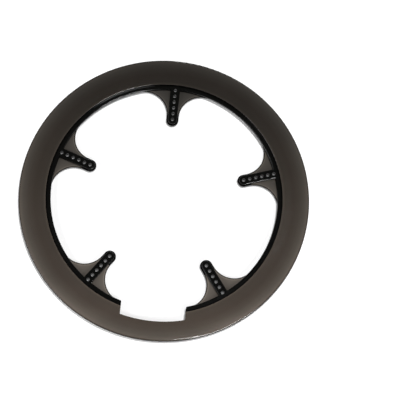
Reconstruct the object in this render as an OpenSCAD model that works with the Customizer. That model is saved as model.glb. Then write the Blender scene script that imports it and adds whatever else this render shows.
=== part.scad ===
// Chainring guard: a one-piece moulded cover ring for a bicycle crankset.
// It lies flat, outer face up. The origin is on the ring's axis at the underside,
// the first arm points along +Y and the notch is opposite it, at -Y.

/* [Ring] */
// Outside diameter of the guard
outer_d = 190; // [184:1:204]
// Diameter of the opening inside the collar, at its narrowest
bay_d = 148; // [142:0.2:151]
// Width of the collar's top, measured outwards from the opening
collar_w = 3.1; // [2.6:0.1:4]
// Height of the collar's inner edge
collar_h = 3.9; // [3.6:0.1:6]
// Rounding along that edge
collar_edge_r = 0.7; // [0.3:0.1:1]
// How far the collar's top falls from that edge to the band
collar_fall = 0.8; // [0.2:0.1:1]
// How much further out the collar's inner wall stands at the underside
collar_draft = 0.6; // [0:0.1:0.8]

/* [Cover band] */
// Wall thickness of the band
band_t = 1.7; // [1.4:0.1:2.1]
// How far the collar's wall reaches out under the band
seat_w = 1; // [0.6:0.1:1.6]
// Radius of the two corners inside the band's hollow
hollow_r = 0.6; // [0.2:0.1:1]
// Step from the collar's top up to the band's highest circle
band_step = 1.4; // [1.1:0.1:1.8]
// Rounding of the band's edge at that step
step_edge_r = 0.9; // [0.3:0.1:1]
// Distance from the step to the band's highest circle
crest_in = 2.4; // [1:0.2:4]
// How far the band falls from that circle to the rim
band_fall = 1.3; // [0.8:0.1:1.5]
// Shoulder radius where the band turns down to the lip
shoulder_r = 1.2; // [0.8:0.1:1.4]
// Thickness of the lip round the rim
lip_t = 1.5; // [1.2:0.1:1.8]
// Height of the lip's lower edge above the underside
lip_lift = 0.7; // [0:0.1:0.8]

/* [Arms] */
// Number of arms
arm_count = 5; // [3, 5]
// Width of an arm's thick bar
bar_w = 6.1; // [5:0.1:7.5]
// How far the bars' tops lie below the collar's top
bar_drop = 0.1; // [0.05:0.05:1]
// Rounding along a bar's edges
bar_edge_r = 0.45; // [0.1:0.05:0.8]
// Width of the thin ledge round a bar
ledge_w = 0.95; // [0.5:0.05:1.6]
// Thickness of the webs and of the ledge
web_t = 1.4; // [1:0.1:1.8]
// Height of the webs above the underside
web_lift = 0.5; // [0.2:0.1:1]
// Radius of the corner between an arm and the collar
web_r = 15.2; // [10:0.1:18]

/* [Screw holes] */
// Diameter of the screw holes
hole_d = 2.2; // [1.6:0.1:3]
// Distance from the ring's axis to the hole at an arm's tip
tip_hole_r = 53.2; // [50:0.1:55]
// Pitch of the holes along an arm
hole_pitch = 4.08; // [3.6:0.02:4.3]
// Number of holes along an arm
hole_count = 6; // [3:1:6]

/* [Notch] */
// Width of the notch
notch_w = 41.5; // [34:0.5:44]
// Distance from the ring's axis to the notch's outer edge
notch_r = 82.4; // [80:0.2:86]
// Rounding of the two corners at the notch's mouth
notch_mouth_r = 1.2; // [0.4:0.1:2]

/* [Hidden] */
$fn = 128;
rim_r = outer_d / 2;
bay_r = bay_d / 2;
step_r = bay_r + collar_w;
wall_r = step_r + seat_w;
// The band's top is an arc that passes through its crest and the top of the rim
crest_r = step_r + crest_in;
seat_z = collar_h - collar_fall;
crest_z = seat_z + band_step;
dome_r = (pow(rim_r - crest_r, 2) + pow(band_fall, 2)) / (2 * band_fall);
dome_z = crest_z - dome_r;
// An arm's outline, with its ledge
arm_half_w = bar_w / 2 + ledge_w;
// Arcs that run into one another cross by this much, so that they meet cleanly
nip = 0.01;
// The webs run out on the inner wall, at its radius level with their underside
web_bay_r = bay_r + collar_draft * (1 - web_lift / (collar_h - collar_edge_r));
web_cx = arm_half_w + web_r;
web_cy = sqrt(pow(web_bay_r - web_r + nip, 2) - pow(web_cx, 2));
// How far arms and webs reach into the collar
root_in = max(collar_draft, collar_edge_r) + 0.2;
cut_over = 1;

// Centre of a corner circle of radius r at distance x, which runs into a dome of radius dome
function corner(x, r, dome) = [x, dome_z + nip + sqrt(pow(dome - r, 2) - pow(x - crest_r, 2))];

// Point of the dome above that corner's centre c, square to the dome
function above(c, dome) = [crest_r, dome_z] + (c - [crest_r, dome_z]) * dome / norm(c - [crest_r, dome_z]);

// Point where a line from p just crosses the circle of radius r round c, on the given side
function touch(c, r, p, side) =
    let (a = atan2(p.y - c.y, p.x - c.x) + side * acos((r - nip) / norm(p - c)))
    c + (r - nip) * [cos(a), sin(a)];

// Upright block from its lower left corner, rounded along its two top edges
module soft_top(w, h, r) {
    square([w, h - r]);
    translate([r, 0]) square([w - 2 * r, h]);
    for (x = [r, w - r]) translate([x, h - r]) circle(r);
}

// Upper half of a disc
module half_disc(r) {
    intersection() {
        circle(r);
        translate([-2 * r, 0]) square([4 * r, 2 * r]);
    }
}

// Section under a dome, from distance x0 to x1, with corner radii r0 and r1 and its foot at height foot
module dome_block(x0, r0, x1, r1, dome, foot) {
    c0 = corner(x0 + r0, r0, dome);
    c1 = corner(x1 - r1, r1, dome);
    t0 = above(c0, dome);
    t1 = above(c1, dome);
    polygon([[x0, foot], [x1, foot], [x1, c1.y], c1, t1, t0, c0, [x0, c0.y]]);
    translate(c0) half_disc(r0);
    translate(c1) half_disc(r1);
    intersection() {
        translate([crest_r, dome_z]) circle(dome, $fn = 720);
        translate([t0.x, foot]) square([t1.x - t0.x, crest_z]);
    }
}

// Section of the collar: drafted inner wall, round edge, top that falls towards the band
module collar_section() {
    c = [bay_r + collar_edge_r, collar_h - collar_edge_r];
    foot = [bay_r + collar_draft, 0];
    seat = [step_r, seat_z];
    rise = touch(c, collar_edge_r, foot, -1);
    fall = touch(c, collar_edge_r, seat, 1);
    polygon([foot, [wall_r, 0], [wall_r, seat_z], seat, fall, c, rise]);
    translate(c) circle(collar_edge_r);
}

// Section of the whole ring, with the hollow band: wall, dome, shoulder and lip
module ring_section() {
    lip_foot = lip_lift + lip_t / 2;
    difference() {
        union() {
            collar_section();
            dome_block(step_r, step_edge_r, rim_r, shoulder_r, dome_r, lip_foot);
        }
        dome_block(wall_r, hollow_r, rim_r - lip_t, hollow_r, dome_r - band_t, -cut_over);
    }
    translate([rim_r - lip_t / 2, lip_foot]) circle(lip_t / 2);
}

module ring() {
    rotate_extrude($fn = 360) ring_section();
}

// Outline of one arm's ledge and webs, arm along +Y
module web_outline() {
    far = 1.4;
    translate([0, tip_hole_r]) circle(arm_half_w);
    translate([-arm_half_w, tip_hole_r]) square([2 * arm_half_w, web_cy - tip_hole_r]);
    intersection() {
        circle(bay_r + root_in, $fn = 360);
        difference() {
            polygon([[-web_cx, web_cy], [web_cx, web_cy], [web_cx, web_cy] * far, [-web_cx, web_cy] * far]);
            for (side = [-1, 1]) translate([side * web_cx, web_cy]) circle(web_r, $fn = 240);
        }
    }
}

// One arm: a thick bar with a round tip on its thin webs, arm along +Y
module arm() {
    bar_h = collar_h - bar_drop;
    bar_l = bay_r + root_in - tip_hole_r;
    translate([0, 0, web_lift]) linear_extrude(web_t) web_outline();
    translate([0, tip_hole_r, 0]) {
        translate([0, bar_l, 0]) rotate([90, 0, 0]) linear_extrude(bar_l)
            translate([-bar_w / 2, 0]) soft_top(bar_w, bar_h, bar_edge_r);
        rotate([0, 0, 180]) rotate_extrude(angle = 180) intersection() {
            translate([-bar_w / 2, 0]) soft_top(bar_w, bar_h, bar_edge_r);
            square([bar_w, bar_h]);
        }
    }
}

// Copies of one arm's shape at every arm
module at_arms() {
    for (i = [0:arm_count - 1]) rotate([0, 0, i * 360 / arm_count]) children();
}

// Holes of one arm
module arm_holes() {
    for (i = [0:hole_count - 1]) translate([0, tip_hole_r + i * hole_pitch, -cut_over])
        cylinder(d = hole_d, h = collar_h + 2 * cut_over, $fn = 32);
}

// Outline of the notch, opening at -Y, with its two rounded mouth corners
module notch_outline() {
    half = notch_w / 2;
    cx = half + notch_mouth_r;
    cy = -sqrt(pow(bay_r + notch_mouth_r - nip, 2) - pow(cx, 2));
    meet = bay_r / norm([cx, cy]);
    intersection() {
        circle(notch_r, $fn = 360);
        translate([-half, -notch_r]) square([notch_w, notch_r - bay_r / 2]);
    }
    for (side = [0, 1]) mirror([side, 0]) difference() {
        polygon([[half - cut_over, cy], [cx, cy], [cx, cy] * meet, [half - cut_over, cy + 2 * notch_mouth_r]]);
        translate([cx, cy]) circle(notch_mouth_r);
    }
}

module chainring_guard() {
    color("#3d3630") difference() {
        union() {
            ring();
            at_arms() arm();
        }
        at_arms() arm_holes();
        translate([0, 0, -cut_over]) linear_extrude(crest_z + 2 * cut_over) notch_outline();
    }
}

chainring_guard();
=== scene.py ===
import bpy
import bmesh
import math
from mathutils import Matrix, Vector

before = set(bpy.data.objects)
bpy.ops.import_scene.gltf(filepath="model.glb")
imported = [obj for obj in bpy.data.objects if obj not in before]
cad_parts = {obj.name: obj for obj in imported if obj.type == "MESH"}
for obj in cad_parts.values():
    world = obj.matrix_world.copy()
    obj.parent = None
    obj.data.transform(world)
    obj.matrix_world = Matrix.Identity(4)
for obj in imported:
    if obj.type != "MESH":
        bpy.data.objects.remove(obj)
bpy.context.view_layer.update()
print("frame loaded:", list(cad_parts))

mm = 0.001
white = (1, 1, 1, 1)


def hexToLinear(code):
    # sRGB hex as a painter picks it, turned to the linear values that a shader wants
    parts = [int(code[i:i + 2], 16) / 255 for i in (0, 2, 4)]
    return tuple(c / 12.92 if c <= 0.04045 else ((c + 0.055) / 1.055) ** 2.4 for c in parts) + (1.0,)


def addNode(tree, kind, inputs=None, stops=None, **settings):
    # an input takes a number, a colour, a node (its first output) or one output of a node;
    # stops are a ramp's places from 0 to 1 with the colour at each;
    # a Mix node of colours has inputs 6 and 7 and output 2, one of vectors 4 and 5 and output 1
    node = tree.nodes.new(kind)
    for name, value in settings.items():
        setattr(node, name, value)
    for key, value in (inputs or {}).items():
        if isinstance(value, bpy.types.Node):
            value = value.outputs[0]
        if isinstance(value, bpy.types.NodeSocket):
            tree.links.new(value, node.inputs[key])
        else:
            node.inputs[key].default_value = value
    for i, (place, code) in enumerate(stops or []):
        if i > 1:   # a new ramp has two stops already
            node.color_ramp.elements.new(place)
        node.color_ramp.elements[i].position = place
        node.color_ramp.elements[i].color = hexToLinear(code)
    return node


# where the photo was taken from: almost overhead, 15 degrees towards the notch, about 0.8 m up
cameraRig = {
    "lens": 111.03,
    "sensor": 36,
    "clip": (0.05, 20),                 # m, nearest and furthest
    "tilt": 0.2620,                     # radians off straight down
    "lean": 0.1748,                     # radians clockwise from the picture's top, where it tilts to
    "turn": -0.0964,                    # radians anticlockwise, how the guard lies in the picture
    "slide": (-35.45, 2.85, 1233.7),    # pixels that the guard lies to the right, up and away
    "mmPerPixel": 0.65382,
    "level": 2.0,                       # mm above the floor, where that scale holds
}


def addCamera(rig):
    data = bpy.data.cameras.new("camera")
    data.lens = rig["lens"]
    data.sensor_width = rig["sensor"]
    data.clip_start, data.clip_end = rig["clip"]
    camera = bpy.data.objects.new("camera", data)
    bpy.context.scene.collection.objects.link(camera)
    way = Vector((math.sin(rig["lean"]), math.cos(rig["lean"]), 0))
    axis = Vector((0, 0, 1)).cross(way).normalized()
    seen = Matrix.Rotation(rig["tilt"], 3, axis) @ Matrix.Rotation(rig["turn"], 3, "Z")
    right, up, away = rig["slide"]
    place = seen.transposed() @ Vector((-right, -up, away)) * rig["mmPerPixel"] * mm
    place += Vector((0, 0, rig["level"] * mm))
    camera.matrix_world = Matrix.Translation(place) @ seen.transposed().to_4x4()
    bpy.context.scene.camera = camera
    print("camera at", [round(c, 4) for c in place])


addCamera(cameraRig)

floor = {
    "reach": 3.0,       # m from the middle to each side
    "below": 0.05,      # mm under the guard, so that no two faces share a plane
    "colour": "F6F6F6",
    "glow": 0.12,       # lifts the paper to white for the eye only, it puts no light on the guard
    "farGlow": 1.0,     # the same, clear of the guard and its shadow
    "near": 0.088,      # m from the guard's axis, where the glow starts to rise; the rise is painted light, lightening the guard's shadow past the rim
    "far": 0.13,        # m from the axis, where it is full
}


def whitePaper(f):
    # uncoated white paper: dull, takes a soft shadow
    paper = bpy.data.materials.new("white paper")
    paper.use_nodes = True
    tree = paper.node_tree
    tree.nodes.clear()
    dull = addNode(tree, "ShaderNodeBsdfDiffuse", {"Color": hexToLinear(f["colour"])})
    place = addNode(tree, "ShaderNodeTexCoord").outputs["Object"]
    fromGuard = addNode(tree, "ShaderNodeVectorMath", {0: place}, operation="LENGTH").outputs["Value"]
    # painted light on the floor: the glow rises from just inside the rim outwards and lightens the guard's
    # shadow there
    glowWithPaintedLight = addNode(tree, "ShaderNodeMapRange", {"Value": fromGuard, "From Min": f["near"],
                                                "From Max": f["far"], "To Min": f["glow"],
                                                "To Max": f["farGlow"]})
    rays = addNode(tree, "ShaderNodeLightPath").outputs
    mirrored = addNode(tree, "ShaderNodeMath", {0: rays["Is Glossy Ray"], 1: rays["Is Transmission Ray"]},
                       operation="ADD")
    inMirror = addNode(tree, "ShaderNodeMath", {0: mirrored, 1: f["glow"]}, operation="MULTIPLY")
    direct = addNode(tree, "ShaderNodeMath", {0: rays["Is Camera Ray"], 1: glowWithPaintedLight}, operation="MULTIPLY")
    amount = addNode(tree, "ShaderNodeMath", {0: direct, 1: inMirror}, operation="ADD")
    glow = addNode(tree, "ShaderNodeEmission", {"Color": white, "Strength": amount})
    both = addNode(tree, "ShaderNodeAddShader", {0: dull, 1: glow})
    addNode(tree, "ShaderNodeOutputMaterial", {"Surface": both})
    return paper


def addFloor(f):
    sheet = bmesh.new()
    bmesh.ops.create_grid(sheet, x_segments=1, y_segments=1, size=f["reach"])
    bmesh.ops.translate(sheet, verts=sheet.verts, vec=(0, 0, -f["below"] * mm))
    mesh = bpy.data.meshes.new("floor")
    sheet.to_mesh(mesh)
    sheet.free()
    mesh.materials.append(whitePaper(f))
    plane = bpy.data.objects.new("floor", mesh)
    bpy.context.scene.collection.objects.link(plane)


addFloor(floor)
print("floor laid")

# azimuth runs clockwise from the top finger, distance and size (across, up) are in metres, and
# level is what the lamp adds to a white card lying flat
lamps = {
    "window": {"azimuth": 38, "elevation": 73, "distance": 1.3, "size": (0.18, 0.18), "level": 0.78,
               "dull": True, "shine": False},
    "lowerRight": {"azimuth": 136, "elevation": 36, "distance": 0.8, "size": (0.30, 0.18), "level": 0.14,
                   "dull": True, "shine": True},
    "lowerLeft": {"azimuth": 248, "elevation": 34, "distance": 0.8, "size": (0.50, 0.20), "level": 0.13,
                  "dull": True, "shine": True},
    # a thin strip that only shows in the gloss, as the bright line along the shoulder
    "strip": {"azimuth": 145, "elevation": 37, "distance": 0.8, "size": (0.44, 0.06), "level": 0.5,
              "dull": False, "shine": True},
}


def addLamps(rows):
    for name, lamp in rows.items():
        data = bpy.data.lights.new(name, "AREA")
        data.shape = "ELLIPSE"
        data.size, data.size_y = lamp["size"]
        turn, rise = math.radians(lamp["azimuth"]), math.radians(lamp["elevation"])
        # the watts that give this level from there
        data.energy = lamp["level"] * math.pi ** 2 * lamp["distance"] ** 2 / math.sin(rise)
        way = Vector((math.sin(turn) * math.cos(rise), math.cos(turn) * math.cos(rise), math.sin(rise)))
        body = bpy.data.objects.new(name, data)
        body.location = way * lamp["distance"]
        body.rotation_euler = way.to_track_quat("Z", "Y").to_euler()
        body.visible_diffuse = lamp["dull"]
        body.visible_glossy = lamp["shine"]
        bpy.context.scene.collection.objects.link(body)


room = {
    "walls": 1.0,       # how white they are to the eye
    "light": 0.05,      # dim and even, on everything in the room
}


def addRoom(r):
    world = bpy.data.worlds.new("room")
    world.use_nodes = True
    tree = world.node_tree
    tree.nodes.clear()
    rays = addNode(tree, "ShaderNodeLightPath").outputs
    strength = addNode(tree, "ShaderNodeMapRange", {"Value": rays["Is Camera Ray"], "To Min": r["light"],
                                                    "To Max": r["walls"]})
    walls = addNode(tree, "ShaderNodeBackground", {"Color": white, "Strength": strength})
    addNode(tree, "ShaderNodeOutputWorld", {"Surface": walls})
    bpy.context.scene.world = world


addLamps(lamps)
addRoom(room)
bpy.context.scene.view_settings.view_transform = "Standard"
print("lamps and room set")

# in mm where nothing else is said, and within 0.2 of the part's own size where it has one
smoke = {
    "arms": 5,
    "tipHole": 53.2,            # a bar ends in a round about this hole
    "barHalf": 3.07,            # half of a bar's width
    "blackTip": 57.7,           # nearer the axis than this a finger is thick right across
    "barEnd": 74.9,             # a bar ends inside the collar
    "corner": (19.2, 56.19),    # middle of the arc that a web's free edge follows
    "cornerR": 15.2,
    "collar": (73.95, 77.3),    # from the axis to its inner and its outer edge
    "shoulder": (93.8, 2.19),   # middle of the arc that turns the band down to the lip
    "shoulderStart": 93.99,
    "rim": 95.0,
    "farOff": 1000,             # past every point of the guard
    "black": "080807",
    # from the collar to the rim: a painted highlight line at the collar, painted light growing towards the
    # rim, then darker on the lip
    "band": [(0.0, "686059"), (0.04, "58524B"), (0.10, "504A44"), (0.40, "504943"), (0.62, "58524C"),
             (0.80, "645F59"), (0.93, "736D66"), (0.955, "645C55"), (0.97, "45403B"), (1.0, "38332F")],
    # from a web's free edge inwards: a dark line on the edge, a painted highlight line inside it, then
    # painted light fading inwards
    "web": [(0.0, "2B2825"), (0.04, "322E2B"), (0.09, "8A857D"), (0.17, "706B65"), (0.45, "67635E"),
            (1.0, "5A5651")],
    "webSpan": 9.0,
    # from the notch to the top finger: painted light, the thin parts lighter on the notch side, where more
    # light comes up from below
    "through": [(0.0, "DAD5D1"), (0.08, "F4EEEA"), (0.18, "DED9D6"), (0.5, "BFBCB9"), (0.82, "979797"),
                (1.0, "8A8A8A")],
    "flowMarks": 20.0,          # across
    "flowDetail": 3,
    "flowRoughness": 0.55,
    "flowTint": (0.95, 1.05),   # darkest and lightest, times the tint
    "polish": 2.0,              # across, coarser than the real one, so that it shows
    "polishDetail": 2,
    "roughness": (0.10, 0.14),
    "waveStrength": 0.02,
    "waveDepth": 0.1,
    "ior": 1.58,
    "gloss": 0.4,               # 0.5 is what the IOR alone gives
}
noiseRange = (0.3, 0.7)         # most values of a noise texture lie between these


def placeOnGuard(tree, s):
    # in mm: the place itself, the same flattened, how far that is from the axis, and the flat
    # place with its arm turned back onto the top one
    place = addNode(tree, "ShaderNodeTexCoord").outputs["Object"]
    inMm = addNode(tree, "ShaderNodeVectorMath", {0: place, "Scale": 1 / mm}, operation="SCALE")
    flat = addNode(tree, "ShaderNodeVectorMath", {0: inMm, 1: (1, 1, 0)}, operation="MULTIPLY")
    radius = addNode(tree, "ShaderNodeVectorMath", {0: flat}, operation="LENGTH").outputs["Value"]
    sides = addNode(tree, "ShaderNodeSeparateXYZ", {0: flat}).outputs
    step = 2 * math.pi / s["arms"]
    bearing = addNode(tree, "ShaderNodeMath", {0: sides["X"], 1: sides["Y"]}, operation="ARCTAN2")
    ahead = addNode(tree, "ShaderNodeMath", {0: bearing, 1: step / 2}, operation="ADD")
    back = addNode(tree, "ShaderNodeMath", {0: ahead, 1: step}, operation="SNAP")
    onArm = addNode(tree, "ShaderNodeVectorRotate", {"Vector": flat, "Angle": back}, rotation_type="Z_AXIS")
    return inMm, flat, radius, onArm


def thickParts(tree, s, radius, onArm):
    # 1 on the bars, the finger tips and the collar, which look black, and 0 elsewhere; fromBar is
    # the distance from a bar's middle line, which ends at the tip hole
    pastTip = addNode(tree, "ShaderNodeVectorMath", {0: onArm, 1: (0, s["tipHole"], 0)},
                      operation="SUBTRACT")
    beside = addNode(tree, "ShaderNodeVectorMath", {0: pastTip, 1: (s["farOff"], 0, 0)},
                     operation="MINIMUM")
    fromBar = addNode(tree, "ShaderNodeVectorMath", {0: beside}, operation="LENGTH").outputs["Value"]
    bar = addNode(tree, "ShaderNodeMath", {0: fromBar, 1: s["barHalf"]}, operation="LESS_THAN")
    along = addNode(tree, "ShaderNodeSeparateXYZ", {0: onArm}).outputs["Y"]
    tip = addNode(tree, "ShaderNodeMath", {0: along, 1: s["blackTip"]}, operation="LESS_THAN")
    finger = addNode(tree, "ShaderNodeMath", {0: bar, 1: tip}, operation="MAXIMUM")
    short = addNode(tree, "ShaderNodeMath", {0: radius, 1: s["barEnd"]}, operation="LESS_THAN")
    bars = addNode(tree, "ShaderNodeMath", {0: finger, 1: short}, operation="MULTIPLY")
    beyondBay = addNode(tree, "ShaderNodeMath", {0: radius, 1: s["collar"][0]}, operation="GREATER_THAN")
    beforeBand = addNode(tree, "ShaderNodeMath", {0: radius, 1: s["collar"][1]}, operation="LESS_THAN")
    collar = addNode(tree, "ShaderNodeMath", {0: beyondBay, 1: beforeBand}, operation="MULTIPLY")
    return addNode(tree, "ShaderNodeMath", {0: bars, 1: collar}, operation="MAXIMUM")


def thinTintWithPaintedLight(tree, s, inMm, radius, onArm):
    # the thin parts, band and webs, let light in from below, and their tint has painted light in it;
    # fromCorner is the distance from the middle of the arc that a web's free edge follows
    oneSide = addNode(tree, "ShaderNodeVectorMath", {0: onArm}, operation="ABSOLUTE")
    fromMiddle = addNode(tree, "ShaderNodeVectorMath", {0: oneSide, 1: s["corner"] + (0,)},
                         operation="SUBTRACT")
    outwards = addNode(tree, "ShaderNodeVectorMath", {0: fromMiddle, 1: (-s["farOff"], 0, 0)},
                       operation="MAXIMUM")
    fromCorner = addNode(tree, "ShaderNodeVectorMath", {0: outwards}, operation="LENGTH").outputs["Value"]
    # the webs' tint, with a painted highlight line and painted light near their free edges
    webPlace = addNode(tree, "ShaderNodeMapRange", {"Value": fromCorner, "From Min": s["cornerR"],
                                                    "From Max": s["cornerR"] + s["webSpan"]})
    webTintWithPaintedLight = addNode(tree, "ShaderNodeValToRGB", {0: webPlace}, stops=s["web"])
    # the band's tint, with a painted highlight line at the collar and painted light towards the rim
    bandPlace = addNode(tree, "ShaderNodeMapRange", {"Value": radius, "From Min": s["collar"][1],
                                                     "From Max": s["rim"]})
    bandTintWithPaintedLight = addNode(tree, "ShaderNodeValToRGB", {0: bandPlace}, stops=s["band"])
    beyondBay = addNode(tree, "ShaderNodeMath", {0: radius, 1: s["collar"][0]}, operation="GREATER_THAN")
    tint = addNode(tree, "ShaderNodeMix", {0: beyondBay, 6: webTintWithPaintedLight, 7: bandTintWithPaintedLight}, data_type="RGBA")

    # painted light: the thin parts' tint is made lighter towards the notch
    fromNotch = addNode(tree, "ShaderNodeSeparateXYZ", {0: inMm}).outputs["Y"]
    upwards = addNode(tree, "ShaderNodeMapRange", {"Value": fromNotch, "From Min": -s["rim"],
                                                   "From Max": s["rim"]})
    through = addNode(tree, "ShaderNodeValToRGB", {0: upwards}, stops=s["through"])
    tintWithPaintedLightByNotch = addNode(tree, "ShaderNodeVectorMath", {0: tint.outputs[2], 1: through}, operation="MULTIPLY")

    # flow marks cloud the tint by a few per cent
    marks = addNode(tree, "ShaderNodeTexNoise", {"Vector": inMm, "Scale": 1 / s["flowMarks"],
                                                 "Detail": s["flowDetail"],
                                                 "Roughness": s["flowRoughness"]})
    cloud = addNode(tree, "ShaderNodeMapRange", {"Value": marks, "From Min": noiseRange[0],
                                                 "From Max": noiseRange[1], "To Min": s["flowTint"][0],
                                                 "To Max": s["flowTint"][1]})
    return addNode(tree, "ShaderNodeVectorMath", {0: tintWithPaintedLightByNotch, "Scale": cloud}, operation="SCALE")


def shoulderNormal(tree, s, inMm, flat, radius):
    # the shoulder is shaded as the true arc, because its small faces would break up the highlight
    outside = addNode(tree, "ShaderNodeMath", {0: radius, 1: s["shoulder"][0]}, operation="SUBTRACT")
    height = addNode(tree, "ShaderNodeSeparateXYZ", {0: inMm}).outputs["Z"]
    above = addNode(tree, "ShaderNodeMath", {0: height, 1: s["shoulder"][1]}, operation="SUBTRACT")
    away = addNode(tree, "ShaderNodeVectorMath", {0: flat}, operation="NORMALIZE")
    outPart = addNode(tree, "ShaderNodeVectorMath", {0: away, "Scale": outside}, operation="SCALE")
    upPart = addNode(tree, "ShaderNodeCombineXYZ", {"Z": above})
    arc = addNode(tree, "ShaderNodeVectorMath", {0: outPart, 1: upPart}, operation="ADD")
    onArc = addNode(tree, "ShaderNodeVectorMath", {0: arc}, operation="NORMALIZE")
    pastBand = addNode(tree, "ShaderNodeMath", {0: radius, 1: s["shoulderStart"]},
                       operation="GREATER_THAN")
    upper = addNode(tree, "ShaderNodeMath", {0: above, 1: 0}, operation="GREATER_THAN")
    shoulder = addNode(tree, "ShaderNodeMath", {0: pastBand, 1: upper}, operation="MULTIPLY")
    surface = addNode(tree, "ShaderNodeNewGeometry").outputs["Normal"]
    mixed = addNode(tree, "ShaderNodeMix", {0: shoulder, 4: surface, 5: onArc}, data_type="VECTOR")
    return mixed.outputs[1]


def smokePolycarbonate(s):
    # smoke-tinted polycarbonate, injection moulded in a polished tool: the thin band and webs let
    # some light in and look taupe, with painted light and painted highlight lines in their tint;
    # the thick collar and bars look black, and faint flow marks cloud the tint
    material = bpy.data.materials.new("smoke polycarbonate, moulded")
    material.use_nodes = True
    tree = material.node_tree
    tree.nodes.clear()
    inMm, flat, radius, onArm = placeOnGuard(tree, s)
    thick = thickParts(tree, s, radius, onArm)
    thin = thinTintWithPaintedLight(tree, s, inMm, radius, onArm)
    colour = addNode(tree, "ShaderNodeMix", {0: thick, 6: thin, 7: hexToLinear(s["black"])},
                     data_type="RGBA")

    # the tool's polish leaves the surface slightly uneven
    polish = addNode(tree, "ShaderNodeTexNoise", {"Vector": inMm, "Scale": 1 / s["polish"],
                                                  "Detail": s["polishDetail"]})
    rough = addNode(tree, "ShaderNodeMapRange", {"Value": polish, "From Min": noiseRange[0],
                                                 "From Max": noiseRange[1], "To Min": s["roughness"][0],
                                                 "To Max": s["roughness"][1]})
    smooth = shoulderNormal(tree, s, inMm, flat, radius)
    wave = addNode(tree, "ShaderNodeBump", {"Height": polish, "Strength": s["waveStrength"],
                                            "Distance": s["waveDepth"] * mm, "Normal": smooth})
    shader = addNode(tree, "ShaderNodeBsdfPrincipled", {"Base Color": colour.outputs[2], "Roughness": rough,
                                                        "Normal": wave, "IOR": s["ior"],
                                                        "Specular IOR Level": s["gloss"]})
    addNode(tree, "ShaderNodeOutputMaterial", {"Surface": shader})
    return material


guard = bpy.data.objects["chainring_guard"]
plastic = smokePolycarbonate(smoke)
for slot in guard.material_slots:
    slot.link = "OBJECT"
    slot.material = plastic
print("smoke polycarbonate on", guard.name)
